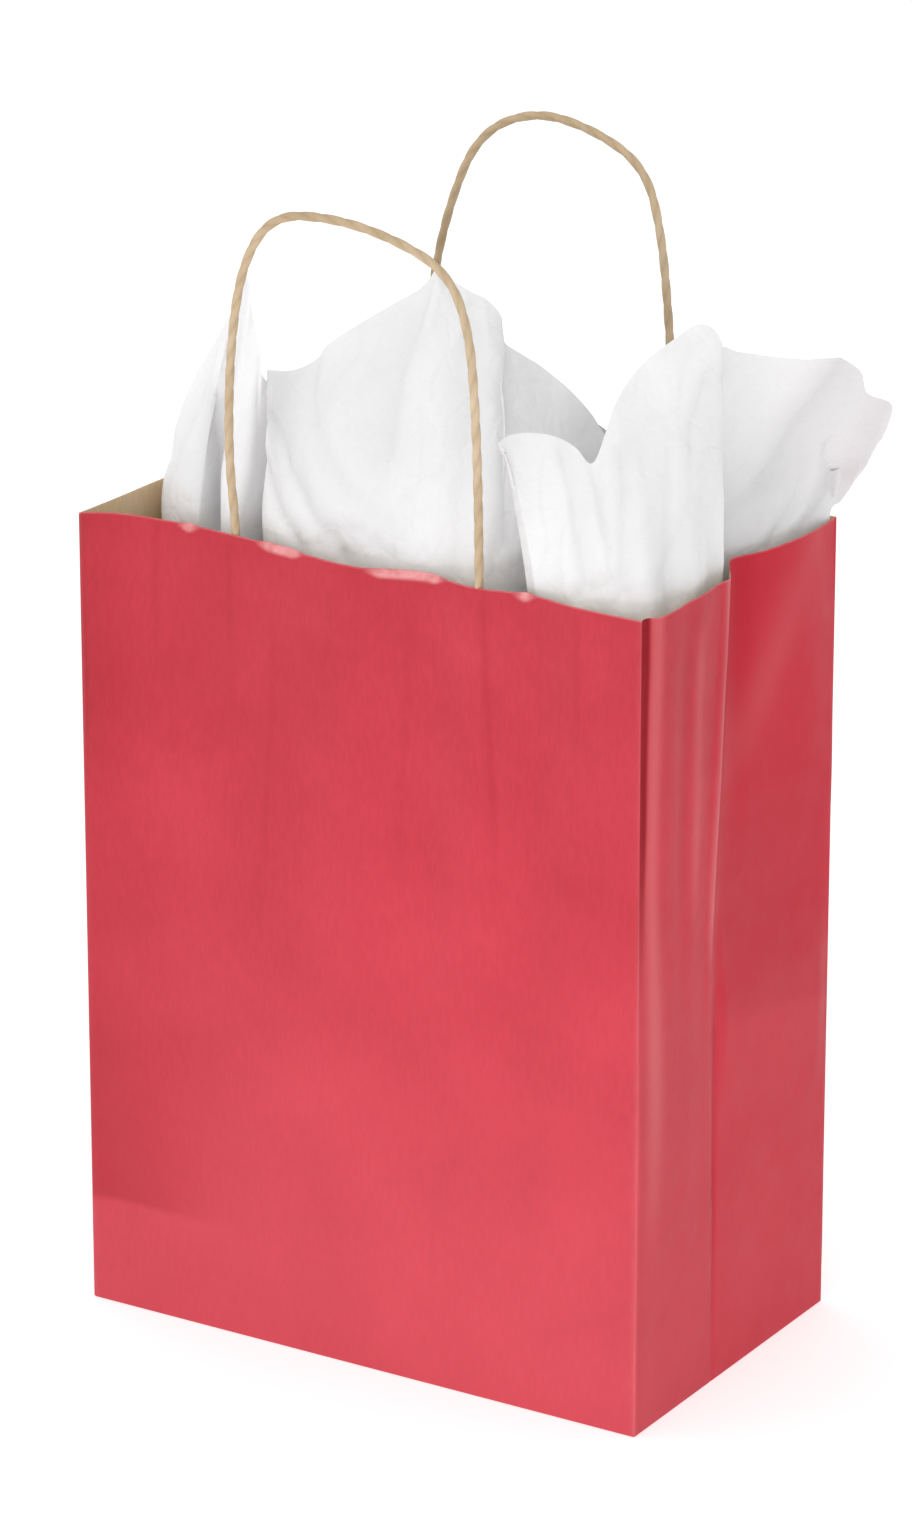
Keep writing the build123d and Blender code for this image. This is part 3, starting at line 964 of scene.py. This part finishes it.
def tissue_sheet(name, body, foot, columns, seed, pleats, lines, painted_top_shade=(0, 0, 1), calm=None):
    """Sheet of tissue gathered at its foot: each column is four points, in millimetres above the rim,
    from the bag's rim up to the sheet's edge, and the columns go round as a closed loop.
    painted_top_shade is the painted shade of the sheet's top: how much greyer it is painted, and the
    heights above the rim where that starts and ends.
    calm is how far left of the middle the sheet starts and ends losing its displacement, which keeps it
    clear of the front handle's swing."""
    foot = Vector((*foot, 0)) * MM
    lift = Vector((0, 0, HEIGHT))
    upper = [[Vector(p) * MM + lift for p in column] for column in columns]
    centre = sum((c[0] for c in upper), Vector()) / len(upper)
    net = []
    for column in upper:
        rim = column[0]
        out = Vector((rim.x - centre.x, rim.y - centre.y, 0))
        low = foot + out * FOOT_SHARE + Vector((0, 0, FOOT_Z))
        axis = Vector((centre.x, centre.y, 0))
        throat = foot.lerp(axis, 0.5) + out * 0.55 + Vector((0, 0, THROAT_Z))
        under = axis + out * 0.93 + Vector((0, 0, UNDER_Z))
        net.append([low, throat, under, *column])
    across = len(net) * COLUMN_STEPS
    rows = []
    for c in range(across):
        t = c / COLUMN_STEPS
        line = [catmull([column[r] for column in net], t, True) for r in range(len(net[0]))]
        points = []
        for r, parts in enumerate(ROW_STEPS):
            points += [catmull(line, r + i / parts, False) for i in range(parts)]
        points.append(line[-1])
        rows.append(points)
    count = len(rows[0])
    verts = [rows[c][r] for r in range(count) for c in range(across)]
    obj = piece(name, verts, grid_faces(count, across, closed=True), [TISSUE], body)
    mesh = obj.data
    normals = [v.normal.copy() for v in mesh.vertices]
    shades = []
    for i, (v, normal) in enumerate(zip(mesh.vertices, normals)):
        t = (i % across) / across
        above = (v.co.z - HEIGHT) / MM
        wave = math.cos(2 * math.pi * (pleats * t + 0.8 * noise.noise(Vector((t * 9, seed, 0)))))
        lift_off = wave * PLEAT_DEPTH * smooth(-150, -60, above) * (1 - smooth(-45, -8, above))
        fan = noise.noise(Vector((t * pleats * 0.55, above / 160, seed)))
        lift_off += fan * FAN_DEPTH * smooth(-30, 5, above) * (1 - 0.7 * smooth(20, 70, above))
        broad, fine = creases(v.co, seed, 34 * MM), creases(v.co, seed + 5, 13 * MM, 0.35)
        lift_off += broad * BROAD_CREASE + fine * FINE_CREASE
        depth, shade = folds_at(v.co, lines)
        shade = max(shade, CREASE_SHADE * smooth(0.2, 0.35, fine))
        # painted shade: the sheet's top is painted greyer
        shades.append(shade + painted_top_shade[0] * smooth(painted_top_shade[1], painted_top_shade[2], above))
        if calm:
            lift_off *= 1 - 0.85 * smooth(*calm, -v.co.x / MM)
        v.co += normal * (lift_off - depth * MM)
    store(obj, "shade", shades)
    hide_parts(name.replace("_sheet", ""))


def build_tissue():
    tissue_sheet("tissue_left_sheet", "left_sheet", (-73, -5), [
        ((-97, -14, -3), (-96, -15, 4), (-94, -16, 12), (-91, -17, 22)),
        ((-93, -26, 0), (-89, -23, 14), (-86, -21, 28), (-82, -19, 42)),
        ((-86, -35, 0), (-82, -30, 18), (-78, -25, 38), (-73, -20, 57)),
        ((-77, -41, 0), (-76, -35, 18), (-73, -29, 40), (-67, -21, 67)),
        ((-67, -44.5, 0), (-68.5, -38, 18), (-68, -31, 42), (-65, -22, 72)),
        ((-63.5, -35, 0), (-66, -31, 20), (-66, -26, 44), (-64, -21, 72)),
        ((-60, -45, 0), (-62, -38, 18), (-62, -31, 40), (-61, -23, 67)),
        ((-56, -46, 0), (-57, -40, 16), (-58, -33, 34), (-59, -24, 59)),
        ((-52, -42.5, 0), (-52.5, -37, 16), (-54, -32, 32), (-55, -27, 50)),
        ((-50, -31, 0), (-51, -30, 13), (-52.5, -29, 27), (-53, -28, 43)),
        ((-50.5, -11, 0), (-51.5, -11, 12), (-52.5, -12, 24), (-54, -14, 34)),
        ((-58, 10, 0), (-58, 9, 10), (-59, 6, 18), (-60, 4, 26)),
        ((-70, 26, 0), (-70, 24, 8), (-70, 20, 16), (-70, 18, 22)),
        ((-84, 30, 0), (-84, 26, 6), (-83, 22, 12), (-82, 20, 18)),
        ((-93, 14, 0), (-93, 12, 5), (-92, 10, 9), (-91, 8, 14)),
        ((-95, 0, 0), (-95, -2, 3), (-94, -4, 7), (-94, -5, 11)),
    ], 3.1, 21, (
        (2.2, 1.6, 0.42, 5, -18, ((-63.5, -2), (-66, 16), (-68, 34))),
        (1.0, 1.4, 0.08, 5, -10, ((-88, 2), (-82, 22), (-75, 46))),
    ))
    tissue_sheet("tissue_middle_sheet", "middle_sheet", (-2, 0), [
        ((-44, -43, 0), (-44, -42, 18), (-44, -41, 34), (-44, -40, 50)),
        ((-37, -47, 0), (-38, -43, 18), (-40, -37, 34), (-41, -30, 48)),
        ((-29, -48, 0), (-32, -43, 18), (-36, -34, 36), (-38, -24, 50)),
        ((-19, -49, 0), (-24, -43, 20), (-30, -31, 40), (-33, -20, 56)),
        ((-8, -50, 0), (-14, -43, 22), (-20, -28, 46), (-22, -12, 65)),
        ((3, -50, 0), (-3, -42, 24), (-9, -24, 50), (-12, -4, 72)),
        ((12, -50, 0), (7, -41, 26), (0, -22, 54), (-8, 0, 78)),
        ((20, -49, 0), (16, -40, 26), (8, -20, 54), (-4, 2, 75)),
        ((27, -48, 0), (24, -39, 24), (16, -19, 50), (3, 3, 72)),
        ((33, -47, 0), (31, -37, 22), (23, -18, 46), (8, 4, 70)),
        ((39, -44, 0), (37, -36, 18), (28, -19, 40), (14, 4, 65)),
        ((43, -38, 0), (40, -33, 14), (32, -22, 34), (16, 2, 58)),
        ((44, -21, 0), (42, -16, 14), (36, -6, 30), (24, 10, 49)),
        ((43, -4, 0), (42, 0, 12), (39, 5, 26), (32, 13, 43)),
        ((39, 10, 0), (39, 12, 10), (39, 15, 20), (38, 17, 35)),
        ((38, 24, 0), (39, 23, 9), (39, 23, 17), (39, 24, 26)),
        ((33, 37, 0), (33, 36, 8), (33, 34, 16), (33, 32, 24)),
        ((17, 45, 0), (17, 43, 10), (17, 40, 20), (18, 37, 30)),
        ((-5, 45, 0), (-5, 43, 12), (-5, 40, 24), (-4, 38, 36)),
        ((-27, 43, 0), (-26, 40, 12), (-25, 37, 23), (-24, 34, 34)),
        ((-40, 33, 0), (-39, 31, 12), (-38, 28, 24), (-37, 26, 36)),
        ((-43, 14, 0), (-42, 12, 13), (-41, 11, 26), (-40, 10, 37)),
        ((-44, -10, 0), (-43, -10, 13), (-41.5, -10, 27), (-41, -10, 39)),
        ((-44, -28, 0), (-43.5, -28, 15), (-43, -28, 30), (-42.6, -28, 45)),
    ], 8.2, 34, (
        (1.8, 2.2, 0.17, 6, 0, ((-42, 36), (-35, 21), (-22, 8), (-8, -2))),
        (1.6, 1.8, 0.18, 5, 0, ((-43, 22), (-38, 10), (-28, 0))),
        (1.4, 3.0, 0.08, 9, 5, ((10, 10), (-8, 17), (-22, 27), (-33, 40), (-36, 50))),
        (1.6, 2.0, 0.12, 5, 0, ((8, 3), (-6, 9), (-20, 3))),
        (1.4, 2.6, 0.09, 10, 5, ((0, 30), (-6, 52), (-8, 76))),
    ), painted_top_shade=(0.08, -15, 35), calm=(36, 42))
    tissue_sheet("tissue_front_right_sheet", "front_right_sheet", (73, -30), [
        ((58, -51, 0), (54, -50, 16), (50, -50, 30), (48, -53, 42)),
        ((63, -52, 0), (58, -50, 16), (54, -48, 32), (49, -51, 46)),
        ((69, -53, 0), (65, -50, 16), (60, -46, 32), (53, -46, 47)),
        ((76, -53, 0), (72, -49, 16), (67, -45, 31), (60, -42, 46)),
        ((83, -52, 0), (79, -48, 16), (73, -43, 30), (67, -41, 43)),
        ((89, -51, 0), (83, -46, 16), (77, -41, 29), (72, -40, 39)),
        ((94, -48, 0), (88, -42, 18), (82, -37, 36), (75, -37, 49)),
        ((97, -43, 0), (92, -37, 20), (86, -32, 42), (77, -34, 58)),
        ((98, -37, 0), (95, -31, 22), (90, -27, 48), (82, -29, 68)),
        ((99, -30, 0), (97, -25, 24), (94, -22, 52), (90, -24, 76)),
        ((99, -22, 0), (98, -18, 24), (98, -17, 52), (97, -19, 81)),
        ((98, -13, 0), (99, -11, 22), (100, -11, 48), (101, -14, 75)),
        ((98, -6, 0), (99, -6, 20), (99, -7, 42), (99, -10, 62)),
        ((94, -5, 0), (95, -5, 18), (96, -6, 36), (97, -8, 52)),
        ((84, -6, 0), (84, -7, 14), (85, -8, 28), (86, -9, 42)),
        ((70, -8, 0), (70, -9, 12), (72, -10, 23), (74, -10, 34)),
        ((58, -12, 0), (59, -12, 10), (60, -12, 20), (62, -12, 30)),
        ((51, -24, 0), (51, -24, 9), (52, -23, 18), (54, -22, 26)),
        ((51, -38, 0), (50, -38, 10), (50, -38, 20), (50, -38, 30)),
    ], 5.4, 24, (
        (1.5, 2.0, 0.10, 6, 0, ((98, 66), (95, 50), (97, 28), (96, 6))),
        (1.7, 2.2, 0.11, 7, -20, ((79, 44), (82, 26), (89, 4))),
        (1.4, 2.0, 0.09, 6, -20, ((62, 42), (69, 26), (77, 4))),
        (1.6, 2.0, 0.12, 5, -20, ((88, 12), (82, 6), (74, 2))),
    ), painted_top_shade=(0.11, 8, 50))
    tissue_sheet("tissue_back_right_sheet", "back_right_sheet", (73, 25), [
        ((92, -1, 0), (92, 0, 20), (92, 2, 45), (93, 0, 68)),
        ((92, 6, 0), (92, 7, 18), (93, 8, 44), (97, 5, 66)),
        ((93, 13, 0), (93, 15, 16), (96, 17, 38), (105, 16, 63)),
        ((95, 22, 0), (95, 24, 14), (99, 28, 30), (117, 28, 61)),
        ((97, 31, 0), (98, 34, 14), (104, 33, 34), (122.5, 34, 57)),
        ((99, 38, 1), (101, 42, 14), (112, 40, 36), (122, 40, 48.5)),
        ((100, 49, 1), (103, 52, 14), (115, 49, 30), (126.5, 48, 42.5)),
        ((100.4, 58.2, 1), (103.5, 58.6, 6), (109, 57, 15), (115.5, 54, 25.5)),
        ((90, 55, 0), (92, 54, 6), (96, 53, 12), (100, 51, 18)),
        ((78, 48, 0), (79, 47, 10), (81, 46, 20), (84, 44, 30)),
        ((62, 46, 0), (63, 44, 10), (65, 42, 20), (68, 40, 30)),
        ((51, 38, 0), (53, 36, 10), (56, 34, 20), (60, 32, 28)),
        ((50, 20, 0), (53, 20, 10), (57, 20, 20), (62, 20, 28)),
        ((52, 4, 0), (56, 5, 12), (60, 6, 24), (66, 6, 36)),
        ((68, 0, 0), (71, 1, 16), (74, 2, 32), (78, 2, 46)),
        ((82, -1, 0), (83, 0, 20), (85, 0, 40), (88, 0, 58)),
    ], 11.7, 20, (
        (2.4, 2.6, 0.32, 34, 60, ((120, 63), (112, 50), (103, 38), (97, 26), (92, 14), (88, 2))),
        (0, 1, 0.32, 25, 60, ((112, 20), (120, 34), (127, 46))),
        (1.8, 1.8, 0.34, 5, 60, ((99, 0), (104, 16), (108, 30))),
        (1.6, 1.8, 0.30, 5, 60, ((96, 0), (99, 12), (101, 20))),
        (1.6, 4.0, 0.14, 10, 30, ((91, 60), (92, 34), (93, 4))),
    ))


add_camera()
add_studio()
add_floor()
build_shell()
build_inside()
paint_bottom()
build_handle("front", FRONT_ROUTE, -1, FRONT_LEAN)
build_handle("back", BACK_ROUTE, 1, 0)
build_tissue()
